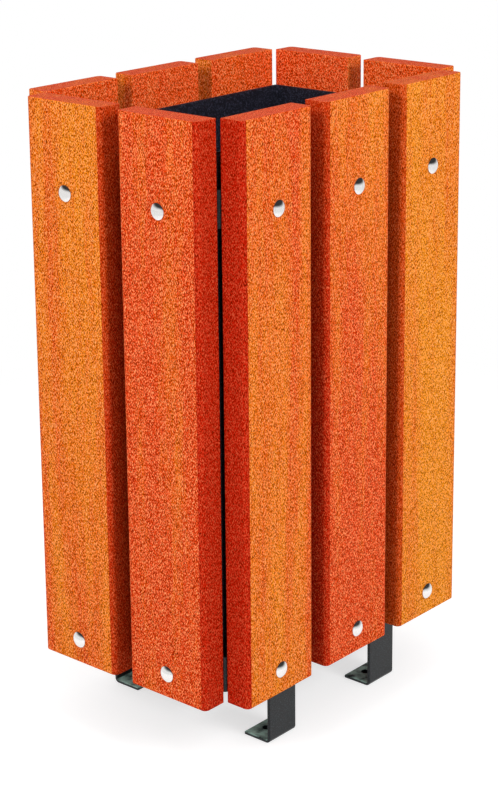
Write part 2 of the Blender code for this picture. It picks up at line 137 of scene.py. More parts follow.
class SlatSettings(bpy.types.PropertyGroup):
    """Planing and oil finish of the slats."""

    face_radius: length_setting(
        "Face edge radius", "Rounding of the two long edges of a slat's outer face",
        0.0065, 0.001, 0.012)
    arris: length_setting(
        "Arris", "Small rounding of every other edge of a slat", 0.0009, 0.0003, 0.003)
    light_colour: colour_setting("Light wood", "Colour of the palest oiled wood", "FA940C")
    deep_colour: colour_setting(
        "Deep wood", "Colour of the darkest oiled wood between its pores", "E83A04")
    pore_colour: colour_setting(
        "Pores", "Colour of the oil that stays in the open pores", "5C1600")
    fleck_colour: colour_setting(
        "Flecks", "Colour of the pale flecks between the pores", "FFB678")
    # Painted light: a brighter, redder colour on the inner faces, standing in for the light that
    # reaches them.
    painted_light_inner_colour: colour_setting(
        "Inner faces", "Colour of the inner faces, which the sun doesn't reach", "FF4000")
    # Partly painted shade: the deep red stands for the oil that edges and sides drink, and for
    # the shade between the slats.
    oil_and_shade_colour: colour_setting(
        "Edges and sides", "Colour of the rounded edges and sides, which drink more oil",
        "C01400")


class FastenerSettings(bpy.types.PropertyGroup):
    """Shape and finish of the coach bolts and flange nuts."""

    thread_pitch: length_setting(
        "Thread pitch", "Pitch of the rolled M8 thread", 0.00125, 0.0005, 0.002)
    thread_length: length_setting(
        "Thread length", "Length of thread from the bolt's end", 0.022, 0.01, 0.03)
    bolt_colour: colour_setting(
        "Bolt steel", "Colour of the polished stainless bolt heads", "F4F2F0")
    nut_colour: colour_setting(
        "Nut zinc", "Colour of the zinc plating on the nuts", "BFC3C8")


class FrameSettings(bpy.types.PropertyGroup):
    """Edges and paint of the hoops, legs and liner supports."""

    edge_radius: length_setting(
        "Bar edge radius", "Rounding of the flat bar's rolled edges under the paint",
        0.0009, 0.0002, 0.002)
    paint_colour: colour_setting(
        "Frame paint", "Colour of the powder coat on the flat bar", "0F1214")


class LinerSettings(bpy.types.PropertyGroup):
    """Folds and paint of the liner, and the wire of its bail."""

    wall: length_setting(
        "Sheet thickness", "Thickness of the liner's painted sheet", 0.0015, 0.0008, 0.002)
    fold_radius: length_setting(
        "Fold radius", "Outside radius of the liner's folded corners", 0.004, 0.003, 0.008)
    paint_colour: colour_setting(
        "Liner paint", "Colour of the powder coat on the liner", "171820")
    wire_colour: colour_setting("Bail zinc", "Colour of the galvanised wire", "A9AEB2")


class StageSettings(bpy.types.PropertyGroup):
    """Floor, light and camera."""

    floor_colour: colour_setting("Floor", "Colour of the pale studio floor", "BEBEBE")
    ambient: FloatProperty(
        name="Ambient level", description="Level of the even light from all round",
        default=0.80, min=0.0, max=2.0)
    lens: FloatProperty(
        name="Focal length", description="Focal length of the camera, in millimetres",
        default=90.63, min=20.0, max=300.0)
    samples_round: IntProperty(
        name="Facets round", description="Facets round the turned pieces and the wire",
        default=48, min=16, max=96)


# ---- surfaces ----


WINDOW_CELLS = 6  # faces across the square window that each hole is cut in


class Shell:
    """Points and four-sided faces of one closed piece, gathered as whole arrays."""

    def __init__(self):
        self.points = np.empty((0, 3))
        self.faces = np.empty((0, 4), int)

    def add(self, points):
        """Takes a grid of points and gives back the same grid of their numbers."""
        points = np.asarray(points, float)
        count = points.size // 3
        numbers = np.arange(count).reshape(points.shape[:-1]) + len(self.points)
        self.points = np.vstack((self.points, points.reshape(-1, 3)))
        return numbers

    def skin(self, numbers, windows=()):
        """Joins each four neighbours of a grid by a face, leaving the windows open.

        A window is (first row, last row, first column, last column).
        """
        cells = (numbers[:-1, :-1], numbers[1:, :-1], numbers[1:, 1:], numbers[:-1, 1:])
        cells = np.stack(cells, axis=-1)
        kept = np.ones(cells.shape[:2], bool)
        for top, bottom, left, right in windows:
            kept[top:bottom, left:right] = False
        self.faces = np.vstack((self.faces, cells[kept]))

    def cap(self, ring, across, windows=()):
        """Fills a ring of 2 * (across + through) points, numbered from one corner.

        Inner points are the blend of the four sides less the blend of the four corners.
        """
        through = len(ring) // 2 - across
        around = np.append(ring, ring[0])
        near = around[: across + 1]
        right = around[across : across + through + 1]
        far = around[across + through : 2 * across + through + 1][::-1]
        left = around[2 * across + through :][::-1]
        u = np.linspace(0, 1, across + 1)[None, :, None]
        v = np.linspace(0, 1, through + 1)[:, None, None]
        place = self.points
        sides = (1 - v) * place[near][None] + v * place[far][None]
        sides = sides + (1 - u) * place[left][:, None] + u * place[right][:, None]
        ends = (1 - v) * ((1 - u) * place[near[0]] + u * place[near[-1]])
        ends = ends + v * ((1 - u) * place[far[0]] + u * place[far[-1]])
        numbers = np.empty((through + 1, across + 1), int)
        numbers[1:-1, 1:-1] = self.add((sides - ends)[1:-1, 1:-1])
        numbers[0], numbers[-1], numbers[:, 0], numbers[:, -1] = near, far, left, right
        self.skin(numbers, windows)
        return numbers

    def cap_ends(self, numbers, across):
        """Fills the first and the last ring of a closed grid."""
        self.cap(numbers[0, :-1], across)
        self.cap(numbers[-1, :-1], across)

    def bore(self, entry, leave, axis_point, inward, stages):
        """A hole from a window's edge to the edge of the window that faces it.

        Each stage is (size, depth, square): edge points slide along their spokes from the
        axis, to a circle of that radius or to a square of that half width.
        """
        inward = np.array(inward)
        spokes = self.points[entry] - axis_point
        spokes = spokes - np.outer(spokes @ inward, inward)
        window = np.abs(spokes).max()
        reach = np.linalg.norm(spokes, axis=1, keepdims=True)
        rows = [entry]
        for size, depth, square in stages:
            spoke = spokes * size / window if square else spokes * size / reach
            rows.append(self.add(axis_point + depth * inward + spoke))
        rows.append(leave)
        rows = np.stack(rows)
        self.skin(np.hstack((rows, rows[:, :1])))


def drill(shell, numbers, windows, flipped, axis_point, inward, stages):
    """Bores from the first to the second of two windows in one grid."""
    front, back = windows
    entry, leave = window_edge(numbers, front), window_edge(numbers, back, flipped)
    shell.bore(entry, leave, axis_point, inward, stages)


def window_edge(numbers, window, flipped=None):
    """The numbers round a window's edge, in order, or mirrored along the flipped axis."""
    top, bottom, left, right = window
    inside = numbers[top : bottom + 1, left : right + 1]
    if flipped is not None:
        inside = np.flip(inside, flipped)
    return np.concatenate((inside[0, :-1], inside[:-1, -1], inside[-1, :0:-1], inside[:0:-1, 0]))


def window_round(row, column):
    """The window whose middle is this point of a grid."""
    half = WINDOW_CELLS // 2
    return row - half, row + half, column - half, column + half


def nearest(values, target):
    """Index of the value or point nearest to a target."""
    gaps = np.abs(np.asarray(values) - target)
    return int(np.argmin(gaps if gaps.ndim == 1 else gaps.sum(axis=1)))


def plain_hole(radius, depth):
    """Stages of a round hole with its edges eased at both ends."""
    ease = 0.0002
    rows = (radius + ease, 0.0), (radius, ease), (radius, depth - ease), (radius + ease, depth)
    return [(size, place, False) for size, place in rows]


def tube(rings):
    """A new shell holding closed rings of points, and their numbers with the first repeated."""
    shell = Shell()
    numbers = shell.add(rings)
    return shell, np.hstack((numbers, numbers[:, :1]))


def piece_from(shell, name, material, crease=35.0):
    """Makes the object: doubles merged, faces outwards, smooth below the crease angle."""
    used, faces = np.unique(shell.faces, return_inverse=True)
    mesh = bpy.data.meshes.new(name)
    mesh.from_pydata(shell.points[used], [], faces.reshape(-1, 4).tolist())
    edit = bmesh.new()
    edit.from_mesh(mesh)
    bmesh.ops.remove_doubles(edit, verts=edit.verts, dist=1e-6)
    bmesh.ops.recalc_face_normals(edit, faces=edit.faces)
    edit.to_mesh(mesh)
    edit.free()
    mesh.shade_smooth()
    mesh.set_sharp_from_angle(angle=math.radians(crease))
    mesh.materials.append(material)
    piece = bpy.data.objects.new(name, mesh)
    bpy.context.scene.collection.objects.link(piece)
    return piece


def points_of(mesh):
    """The mesh's vertices as one array."""
    flat = np.empty(len(mesh.vertices) * 3, np.float32)
    mesh.vertices.foreach_get("co", flat)
    return flat.reshape(-1, 3).astype(float)


def give_attribute(mesh, name, kind, values):
    attribute = mesh.attributes.new(name, kind, "POINT")
    key = "vector" if kind == "FLOAT_VECTOR" else "value"
    attribute.data.foreach_set(key, np.asarray(values, np.float32).ravel())


def stand(node):
    """(turn, point) that put a shape made for the front, outer face on y = 0, on its side.

    The point lies on the node's outer face, midway along it and at its middle height.
    """
    turn = math.radians(SIDE_TURNS[node.split("_")[0]])
    outwards = np.array((math.sin(turn), -math.cos(turn), 0.0))
    low, high = corners(node)
    point = (low + high) / 2 + outwards * np.abs((high - low) / 2 @ outwards)
    cosine, sine = math.cos(turn), math.sin(turn)
    spin = np.array(((cosine, -sine, 0.0), (sine, cosine, 0.0), (0.0, 0.0, 1.0)))
    return spin, point


def put(shell, node):
    spin, point = stand(node)
    shell.points = shell.points @ spin.T + point


def dress(node, shell, words, material, local=True, body="frame"):
    """Makes a piece, named after its node with one word changed.

    A local shell was made for the front, and is put on its own side first.
    """
    if local:
        put(shell, node)
    piece = piece_from(shell, node.replace(*words), material)
    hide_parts(node)
    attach(piece, body)
    return piece


def arc(start, steps):
    """Unit vectors through a quarter turn from a start angle in degrees."""
    angles = np.radians(start + np.linspace(0, 90, steps + 1))
    return np.stack((np.cos(angles), np.sin(angles)), axis=1)


def stops_between(low, high, centres, half, cells):
    """Stations from low to high with a block of even cells round each centre."""
    blocks = [np.linspace(c - half, c + half, cells + 1) for c in centres]
    return np.unique(np.round(np.concatenate(([low, high], *blocks)), 7))


def bar_section(width, depth, radii, inset, stops, steps):
    """Closed loop round a bar's section: a rectangle whose corners are quarter circles.

    x runs across the width and y into the depth. The radii are those of the outer and
    inner corners. An inset moves every straight in and shrinks every arc by as much. The
    loop starts in the middle of the left outer arc.
    """
    half = width / 2 - inset
    outer, inner = (max(radius - inset, 0.0) for radius in radii)
    near, far = inset, depth - inset
    marks = np.clip(stops, -half + outer, half - outer)
    back = np.clip(stops[::-1], -half + inner, half - inner)
    left_outer = arc(180, steps) * outer + (-half + outer, near + outer)
    right_outer = arc(270, steps) * outer + (half - outer, near + outer)
    right_inner = arc(0, steps) * inner + (half - inner, far - inner)
    left_inner = arc(90, steps) * inner + (-half + inner, far - inner)
    face = np.stack((marks, np.full_like(marks, near)), axis=1)
    rear = np.stack((back, np.full_like(back, far)), axis=1)
    loop = np.vstack((left_outer, face, right_outer, right_inner, rear, left_inner))
    return np.roll(loop, -(steps // 2), axis=0)


def strip(width, depth, radii, stops, steps, path):
    """Rings of a bar's section carried along a path in the plane of y and z.

    The path gives points on the outer face, directions into the bar, and insets.
    """
    rows = []
    for point, inward, inset in zip(*path):
        section = bar_section(width, depth, radii, inset, stops, steps)
        rows.append(np.column_stack((section[:, :1], point + inward * section[:, 1:])))
    return np.stack(rows)


def hole_columns(stops, steps, target):
    """Columns of a section's loop nearest to a stop, on the outer and on the inner face."""
    place = nearest(stops, target)
    outer = steps // 2 + 1 + place
    return outer, steps // 2 + 2 * (len(stops) + steps + 1) - place


def rounded_end(radius, steps):
    """(distance from the end, inset) of the rings that round a bar's end."""
    angles = np.radians(np.linspace(0, 90, steps + 1))
    return radius * (1 - np.cos(angles)), radius * (1 - np.sin(angles))


# ---- materials ----

BLEND = {"data_type": "RGBA"}  # a Mix node that blends colours, whose result is output 2
# Pale grey-green, painted on the feet's upper faces as a painted reflection.
PAINTED_SHEEN_COLOUR = linear("C0E4D6")

# Turns the noise's cells out of the boards' planes, where their contrast fades in bands.
GRAIN_TURN = (0.62, 0.48, 0.35)


def add_node(tree, kind, settings=None, inputs=(), output=0):
    """Adds a node with its settings and gives back one of its outputs.

    The inputs come with their names or numbers, or as a tuple in the node's own order. Each
    is a constant, or a socket to link it to.
    """
    made = tree.nodes.new("ShaderNode" + kind)
    for key, value in (settings or {}).items():
        setattr(made, key, value)
    for key, value in inputs.items() if isinstance(inputs, dict) else enumerate(inputs):
        if isinstance(value, bpy.types.NodeSocket):
            tree.links.new(value, made.inputs[key])
        else:
            made.inputs[key].default_value = value
    return made.outputs[output] if made.outputs else None


def new_material(name):
    """An empty node material and its node tree."""
    material = bpy.data.materials.new(name)
    material.use_nodes = True
    material.node_tree.nodes.clear()
    return material, material.node_tree


def opaque(colour):
    return (*colour, 1.0)


def coat(tree, height, strength, depth, inputs):
    """Ends a surface: its shader's inputs, over a bump of the height given."""
    bump = add_node(tree, "Bump", inputs={
        "Strength": strength, "Distance": depth, "Height": height})
    shader = add_node(tree, "BsdfPrincipled", inputs={**inputs, "Normal": bump})
    add_node(tree, "OutputMaterial", inputs={"Surface": shader})


def grain(tree, log, across, along, detail, distortion):
    """Noise with so many cells to the metre across the fibre and along it."""
    space = add_node(tree, "Mapping", inputs={
        "Vector": log, "Rotation": GRAIN_TURN, "Scale": (across, across, along)})
    return add_node(tree, "TexNoise", inputs={
        "Vector": space, "Scale": 1.0, "Detail": detail, "Distortion": distortion})


def oiled_hardwood(look):
    """Dense tropical hardwood, planed, sanded and oiled.

    To the eye: a warm satin orange whose red deepens in ribbons a finger wide, thick with
    short dark pores and pale flecks along the fibre. The rounded edges and sawn sides turn a
    deep red, partly from the oil they drink and partly as painted shade, and the inner faces
    carry a brighter, redder colour as painted light. The pattern is solid, so the pores are
    dots on end grain.
    """
    material, tree = new_material("oiled_hardwood")
    log = add_node(tree, "Attribute", {"attribute_name": "log"}, output="Vector")
    tone, side, inside = (
        add_node(tree, "Attribute", {"attribute_name": name}, output="Fac")
        for name in ("tone", "side", "inside"))
    # Ribbons of interlocked grain, from 33 mm down to 8 mm wide and nearly as long as the slat.
    ribbon = grain(tree, log, 30.0, 1.7, 2.0, 0.5)
    # Fibre streaks, drawn 1.2 mm by 50 mm because real ones are too fine to show.
    fibre = grain(tree, log, 800.0, 20.0, 3.0, 0.0)
    # Pores and flecks, drawn 0.9 mm by 2.3 mm because real ones are too fine to show.
    speckle = grain(tree, log, 1150.0, 440.0, 2.0, 0.0)
    pores = add_node(tree, "MapRange", inputs=(speckle, 0.5, 0.38, 0.0, 0.92))
    flecks = add_node(tree, "MapRange", inputs=(speckle, 0.53, 0.65, 0.0, 0.8))
    ribbon_share = add_node(tree, "MapRange", inputs=(ribbon, 0.3, 0.7, -0.28, 0.28))
    fibre_share = add_node(tree, "MapRange", inputs=(fibre, 0.3, 0.7, -0.26, 0.26))
    toned = add_node(tree, "Math", {"operation": "ADD"}, (ribbon_share, tone))
    figured = add_node(tree, "Math", {"operation": "ADD", "use_clamp": True},
                       (toned, fibre_share))
    # The darker sides, deep red partly from oil and partly from painted shade, start at the sharp
    # line where a flat face ends.
    oil_and_shade_share = add_node(tree, "MapRange", inputs=(side, 0.8, 1.0, 0.0, 1.0))
    # Oil and the painted shade hide most of the flecks on the sides.
    bare = add_node(tree, "MapRange", inputs=(oil_and_shade_share, 0.0, 1.0, 1.0, 0.25))
    fleck_share = add_node(tree, "Math", {"operation": "MULTIPLY"}, (flecks, bare))
    colour = opaque(look.deep_colour)
    for share, over in (
        (figured, look.light_colour),
        (inside, look.painted_light_inner_colour),
        (oil_and_shade_share, look.oil_and_shade_colour),
        (fleck_share, look.fleck_colour),
        (pores, look.pore_colour),
    ):
        colour = add_node(tree, "Mix", BLEND, {0: share, 6: colour, 7: opaque(over)}, 2)
    rough = add_node(tree, "MapRange", inputs=(fibre, 0.3, 0.7, 0.46, 0.6))
    coat(tree, speckle, 0.3, 0.0002, {
        "Base Color": colour, "Roughness": rough, "IOR": 1.47, "Specular IOR Level": 0.02})
    return material


def powder_coat(name, colour, roughness, sheen_level):
    """Textured polyester powder coat, sprayed dry and baked over steel.

    To the eye: a deep colour with a fine pale sparkle under a soft gloss that the orange
    peel, drawn 2 mm from crest to crest, breaks up. Near the ground, faces that look up carry
    patches of a pale grey-green, to the share given: a painted reflection of the light they
    catch.
    """
    material, tree = new_material(name)
    place = add_node(tree, "TexCoord", output="Object")
    peel = add_node(tree, "TexNoise", inputs={"Vector": place, "Scale": 600.0, "Detail": 2.0})
    cloud = add_node(tree, "TexNoise", inputs={"Vector": place, "Scale": 70.0, "Detail": 3.0})
    paler = tuple(min(1.0, channel * 7.0) for channel in colour)
    sparkle = add_node(tree, "MapRange", inputs=(peel, 0.5, 0.75))
    tint = add_node(tree, "Mix", BLEND, {0: sparkle, 6: opaque(colour), 7: opaque(paler)}, 2)
    height = add_node(tree, "SeparateXYZ", inputs=(place,), output="Z")
    # Painted reflection: near the ground, faces that look up turn pale grey-green in patches.
    low_down = add_node(tree, "MapRange", inputs=(
        height, STRAP_THICKNESS + 0.002, STRAP_THICKNESS + 0.0005, 0.0, sheen_level))
    normal = add_node(tree, "NewGeometry", output="Normal")
    facing = add_node(tree, "SeparateXYZ", inputs=(normal,), output="Z")
    upward = add_node(tree, "Math", {"operation": "MULTIPLY", "use_clamp": True},
                      (facing, low_down))
    patches = add_node(tree, "MapRange", inputs=(cloud, 0.35, 0.6))
    sheen_share = add_node(tree, "Math", {"operation": "MULTIPLY"}, (upward, patches))
    sheened = add_node(tree, "Mix", BLEND, {0: sheen_share, 6: tint, 7: opaque(PAINTED_SHEEN_COLOUR)}, 2)
    rough = add_node(tree, "MapRange", inputs=(
        cloud, 0.0, 1.0, roughness - 0.08, roughness + 0.08))
    coat(tree, peel, 0.35, 0.0002, {
        "Base Color": sheened, "Roughness": rough, "IOR": 1.5, "Specular IOR Level": 0.25})
    return material


def bright_metal(name, colour, roughness, grain_size):
    """Steel with a polished, plated or hot-dipped face, its grain size given in metres.

    To the eye: reflections broken by faint cloudy patches of the grain's size.
    """
    material, tree = new_material(name)
    place = add_node(tree, "TexCoord", output="Object")
    cloud = add_node(tree, "TexNoise", inputs={
        "Vector": place, "Scale": 1.0 / grain_size, "Detail": 3.0})
    duller = tuple(channel * 0.72 for channel in colour)
    tint = add_node(tree, "Mix", BLEND, {0: cloud, 6: opaque(colour), 7: opaque(duller)}, 2)
    rough = add_node(tree, "MapRange", inputs=(
        cloud, 0.0, 1.0, roughness * 0.6, roughness * 1.4))
    coat(tree, cloud, 0.2, 0.00005, {"Base Color": tint, "Metallic": 1.0, "Roughness": rough})
    return material


# ---- slats ----

SLAT_WINDOW = 0.009  # half width of the windows that the bolt holes are cut in

# Tone of each slat at its foot and at its head, where 0 is deep and 1 is pale before the
# grain is added and clamped, how dark its darker edge is, which is partly painted shade, on
# which side of the slat that is, the side painted as in shade, and the seed of its place in the
# log.
SLAT_TONES = {
    "front_left_slat": (0.52, 0.24, 1.00, -1, 3),
    "front_middle_slat": (-0.14, 0.50, 0.97, -1, 8),
    "front_right_slat": (0.84, 0.80, 0.95, -1, 5),
    "left_front_slat": (-0.06, 0.04, 0.99, 1, 12),
    "left_rear_slat": (0.46, 0.58, 0.97, 1, 17),
    "rear_left_slat": (0.45, 0.45, 0.90, -1, 21),
    "rear_middle_slat": (0.22, 0.42, 0.94, -1, 26),
    "rear_right_slat": (0.48, 0.48, 0.92, -1, 31),
    "right_front_slat": (0.48, 0.48, 0.94, 1, 36),
    "right_rear_slat": (0.15, 0.22, 0.90, 1, 41),
}


def slat_stations(look, heights):
    """Stops across a board, and its path: points up its length, the way in, and insets."""
    edge = SLAT_WIDTH / 2 - 0.0095
    stops = stops_between(-edge, edge, (0.0,), SLAT_WINDOW, WINDOW_CELLS)
    lifts, insets = rounded_end(look.arris, 4)
    end = SLAT_LENGTH / 2
    middles = stops_between(0.002 - end, end - 0.002, heights, SLAT_WINDOW, WINDOW_CELLS)
    levels = np.concatenate((lifts - end, middles, (end - lifts)[::-1]))
    inset = np.concatenate((insets, np.zeros(len(middles)), insets[::-1]))
    points = np.column_stack((np.zeros_like(levels), levels))
    return stops, (points, np.tile((1.0, 0.0), (len(levels), 1)), inset)


def slat_shell(look):
    """A board: its section carried up its length, with a stepped hole for each bolt.

    The section is a rectangle with two wide arcs outside and two narrow ones inside. Each
    hole is a square socket for the bolt's neck, and round behind it.
    """
    low, high = corners("front_middle_slat")
    heights = [height - (low[2] + high[2]) / 2 for height in BOLT_HEIGHTS]
    stops, path = slat_stations(look, heights)
    steps = 8
    radii = (look.face_radius, look.arris)
    shell, numbers = tube(strip(SLAT_WIDTH, SLAT_THICKNESS, radii, stops, steps, path))
    outer, inner = hole_columns(stops, steps, 0.0)
    windows = []
    for height in heights:
        row = nearest(path[0][:, 1], height)
        windows.append((window_round(row, outer), window_round(row, inner)))
    shell.skin(numbers, [window for pair in windows for window in pair])
    shell.cap_ends(numbers, len(stops) + steps + 1)
    socket, hole = NECK_HALF + HOLE_CLEARANCE, SHANK_RADIUS + HOLE_CLEARANCE
    depth = NECK_LENGTH + HOLE_CLEARANCE
    square = (socket, 0.0, True), (socket, depth, True)
    stages = (*square, (hole, depth, False), (hole, SLAT_THICKNESS, False))
    for height, pair in zip(heights, windows):
        drill(shell, numbers, pair, 1, (0.0, 0.0, height), (0.0, 1.0, 0.0), stages)
    return shell


def finish_wood(piece, node, look, foot, head, side_shade, darker, seed):
    """Gives a board its own place in the log, as a vector in metres, its tone and its sides.

    The log's axis runs beside the board at a small tilt, so that growth bands cross its
    face in long arches. The tone goes from foot to head with the square of the height, and
    is deeper on the thirsty end grain. The sides are the points past the flat of the outer
    face, short of the inner face and the ends; the side painted as in shade takes the slat's
    darkness as painted shade, and the inner faces are marked for painted light.
    """
    spin, point = stand(node)
    local = (points_of(piece.data) - point) @ spin
    chance = np.random.default_rng(seed)
    tilt = np.radians(chance.uniform(-1.2, 1.2, 2))
    shift = chance.uniform(-1.0, 1.0, 3) * (0.4, 0.4, 3.0)
    leaned = local + np.outer(local[:, 2], (math.tan(tilt[0]), math.tan(tilt[1]), 0.0))
    flat = SLAT_WIDTH / 2 - look.face_radius - 0.0001
    past = np.abs(local[:, 0]) > flat
    short = local[:, 1] < SLAT_THICKNESS - 0.0001
    between = np.abs(local[:, 2]) < SLAT_LENGTH / 2 - 0.0001
    give_attribute(piece.data, "log", "FLOAT_VECTOR", leaned + shift)
    rise = np.clip(local[:, 2] / SLAT_LENGTH + 0.5, 0.0, 1.0) ** 2
    tone = foot + (head - foot) * rise - 0.5 * ~between
    give_attribute(piece.data, "tone", "FLOAT", tone)
    # Painted shade: the side of each slat that is painted as in shade gets the slat's darkness,
    # and the other side gets 0.82.
    side = np.where(local[:, 0] * darker > 0, side_shade, 0.82) * (past & short & between)
    side = side + 0.86 * ~between
    give_attribute(piece.data, "side", "FLOAT", side)
    # Painted light: the inner faces take the brighter inner colour.
    give_attribute(piece.data, "inside", "FLOAT", ~short * 0.8)


class LITTERBIN_OT_slats(bpy.types.Operator):
    """Builds the ten oiled hardwood slats"""

    bl_idname = "litterbin.slats"
    bl_label = "Hardwood Slats"

    def execute(self, context):
        look = context.scene.litterbin_slats
        material = oiled_hardwood(look)
        for node in SLAT_NODES:
            piece = dress(node, slat_shell(look), ("slat", "board"), material)
            finish_wood(piece, node, look, *SLAT_TONES[node])
        return {"FINISHED"}


# ---- fasteners ----


def turned_shell(along, radii, rows_closed):
    """A surface round the y axis: radii[row, angle] at y = along[row]."""
    count = radii.shape[1]
    angles = np.arange(count) / count * 2 * np.pi
    level = np.repeat(along[:, None], count, axis=1)
    points = np.stack((radii * np.cos(angles), level, radii * np.sin(angles)), axis=-1)
    shell, numbers = tube(points)
    if rows_closed:
        numbers = np.vstack((numbers, numbers[:1]))
    shell.skin(numbers)
    return shell


def bolt_shell(look, count):
    """Coach bolt: a dome on a rolled rim, a square neck and a threaded shank.

    The dome is a slice of a sphere. The neck's radius is its half width over the larger of
    the cosine and sine of the angle. The thread adds a triangle wave of height against
    turns, advanced by the angle, so that its crests climb as a helix.
    """
    length = size_of("front_middle_upper_bolt")[1]
    angles = np.arange(count) / count * 2 * np.pi
    rise = HEAD_HEIGHT - HEAD_RIM
    ball = (HEAD_RADIUS**2 + rise**2) / (2 * rise)
    sweep = np.linspace(0, math.asin((HEAD_RADIUS - 0.0002) / ball), 12)
    dome_y = ball - ball * np.cos(sweep)
    dome_r = ball * np.sin(sweep)
    rim_y = (rise + 0.0002, HEAD_HEIGHT - 0.0002, HEAD_HEIGHT)
    rim_r = (HEAD_RADIUS, HEAD_RADIUS, HEAD_RADIUS - 0.0003)
    square = NECK_HALF / np.maximum(np.abs(np.cos(angles)), np.abs(np.sin(angles)))
    square = np.minimum(square, NECK_HALF * 1.32)
    neck = HEAD_HEIGHT + NECK_LENGTH
    start = length - look.thread_length
    turns = int(look.thread_length / look.thread_pitch * 6)
    thread_y = np.linspace(start, length - 0.0008, turns)
    wave = thread_y[:, None] / look.thread_pitch - angles / (2 * np.pi)
    wave = np.abs((wave % 1.0) * 2 - 1)
    thread_r = SHANK_RADIUS - THREAD_DEPTH * wave
    neck_y = (HEAD_HEIGHT, neck, neck, neck + 0.001, start)
    rows_y = np.concatenate((dome_y, rim_y, neck_y, thread_y, (length, length)))
    shank = (square, square, ROLLED_SHANK, ROLLED_SHANK, ROLLED_SHANK)
    rows = (*dome_r, *rim_r, *shank, *thread_r, SHANK_RADIUS * 0.8, 0.0)
    rows_r = np.stack([np.broadcast_to(row, count) for row in rows])
    return turned_shell(rows_y, rows_r, False)


NUT_FLATS = 0.013
NUT_BORE = 0.0044
NUT_EASE = 0.0004  # opening out of the bore at both ends


def nut_shell():
    """Hexagon flange nut: a cone-topped washer face under a prism, with a plain bore.

    The prism's radius is half the flats over the cosine of the angle from the nearest
    flat. The flange is the larger of cone and prism, and the crown the smaller.
    """
    height = size_of("front_middle_upper_nut")[1]
    count = 72
    angles = np.arange(count) / count * 2 * np.pi
    from_flat = (angles + np.pi / 6) % (np.pi / 3) - np.pi / 6
    prism = NUT_FLATS / 2 / np.cos(from_flat)
    flange_y = (0.0, 0.0006, 0.0011, 0.0014, 0.0018, 0.0022, 0.0026)
    flange_r = np.array((0.0086, 0.0088, 0.0087, 0.0082, 0.0075, 0.0068, 0.0061))
    crown_y = height - np.array((0.0012, 0.0009, 0.0006, 0.0003, 0.0))
    crown_r = np.array((0.0076, 0.0074, 0.00712, 0.0068, 0.0064))
    rows_y = np.concatenate(((0.0,), flange_y, crown_y, (height, height - 0.0006)))
    cone = flange_r[:4]
    slope = np.maximum(flange_r[4:, None], prism)
    crown = np.minimum(crown_r[:, None], prism)
    rows = (NUT_BORE + NUT_EASE, *cone, *slope, *crown, NUT_BORE + NUT_EASE, NUT_BORE)
    rows_r = np.stack([np.broadcast_to(row, count) for row in rows])
    return turned_shell(rows_y, rows_r, True)


class LITTERBIN_OT_bolts(bpy.types.Operator):
    """Builds the twenty domed coach bolts"""

    bl_idname = "litterbin.bolts"
    bl_label = "Coach Bolts"

    def execute(self, context):
        look = context.scene.litterbin_fasteners
        facets = context.scene.litterbin_stage.samples_round
        material = bright_metal("polished_stainless", look.bolt_colour, 0.12, 0.0015)
        for node in BOLT_NODES:
            dress(node, bolt_shell(look, facets), ("bolt", "coach_bolt"), material)
        return {"FINISHED"}


class LITTERBIN_OT_nuts(bpy.types.Operator):
    """Builds the twenty flange nuts"""

    bl_idname = "litterbin.nuts"
    bl_label = "Flange Nuts"

    def execute(self, context):
        look = context.scene.litterbin_fasteners
        material = bright_metal("zinc_plated_steel", look.nut_colour, 0.3, 0.002)
        for node in NUT_NODES:
            dress(node, nut_shell(), ("nut", "flange_nut"), material)
        return {"FINISHED"}


# ---- frame ----


def loop_path(half_x, half_y, radius, stops_x, stops_y, steps):
    """Points and outward normals anticlockwise round a rectangle with arcs for corners."""
    points = []
    normals = []
    sides = (half_x, half_y, stops_x), (half_y, half_x, stops_y)
    for turn, (long, wide, stops) in enumerate(sides * 2):
        angle = turn * math.pi / 2
        spin = np.array(((math.cos(angle), math.sin(angle)), (-math.sin(angle), math.cos(angle))))
        marks = stops if turn < 2 else -stops[::-1]
        straight = np.stack((marks, np.full_like(marks, -wide)), axis=1)
        around = arc(270, steps)
        bend = around * radius + (long - radius, -wide + radius)
        down = np.tile((0.0, -1.0), (len(marks), 1))
        points.append(np.vstack((straight, bend)) @ spin)
        normals.append(np.vstack((down, around)) @ spin)
    return np.vstack(points), np.vstack(normals)


def hoop_shell(node, edge):
    """A flat bar's rounded section carried round the loop, with a hole for each bolt."""
    low, high = corners(node)
    height = high[2] - low[2]
    middle = (low[2] + high[2]) / 2
    bolts = [name for name in BOLT_NODES if node.split("_")[0] in name.split("_")[2]]
    places = np.array([sum(corners(name)) / 2 for name in bolts])
    half, steps, window = height / 2, 4, 0.0075
    drop = places[0, 2] - middle
    stops = stops_between(edge * 1.5 - half, half - edge * 1.5, (drop,), window, WINDOW_CELLS)
    section = bar_section(height, BAR_THICKNESS, (edge, edge), 0.0, stops, steps)
    offsets_x = [x for x, y in places[:, :2] if abs(y) > high[1]]
    offsets_y = [y for x, y in places[:, :2] if abs(x) > high[0]]
    along_x = stops_between(-0.19, 0.19, offsets_x, window, WINDOW_CELLS)
    along_y = stops_between(-0.11, 0.11, offsets_y, window, WINDOW_CELLS)
    path, normals = loop_path(high[0], high[1], HOOP_BEND, along_x, along_y, 10)
    flat = path[:, None] - normals[:, None] * section[None, :, 1:]
    level = np.broadcast_to(section[:, 0] + middle, flat.shape[:2])
    shell, numbers = tube(np.dstack((flat, level)))
    outer, inner = hole_columns(stops, steps, drop)
    numbers = np.vstack((numbers, numbers[:1]))
    windows = []
    for place in places:
        on_bar = np.clip(place[:2], (-high[0], -high[1]), (high[0], high[1]))
        row = nearest(path, on_bar)
        windows.append((row, window_round(row, outer), window_round(row, inner)))
    shell.skin(numbers, [window for _, *pair in windows for window in pair])
    stages = plain_hole(SHANK_RADIUS + HOLE_CLEARANCE, BAR_THICKNESS)
    for row, *pair in windows:
        axis_point = (*path[row], places[0, 2])
        drill(shell, numbers, pair, 1, axis_point, (*-normals[row], 0.0), stages)
    return shell


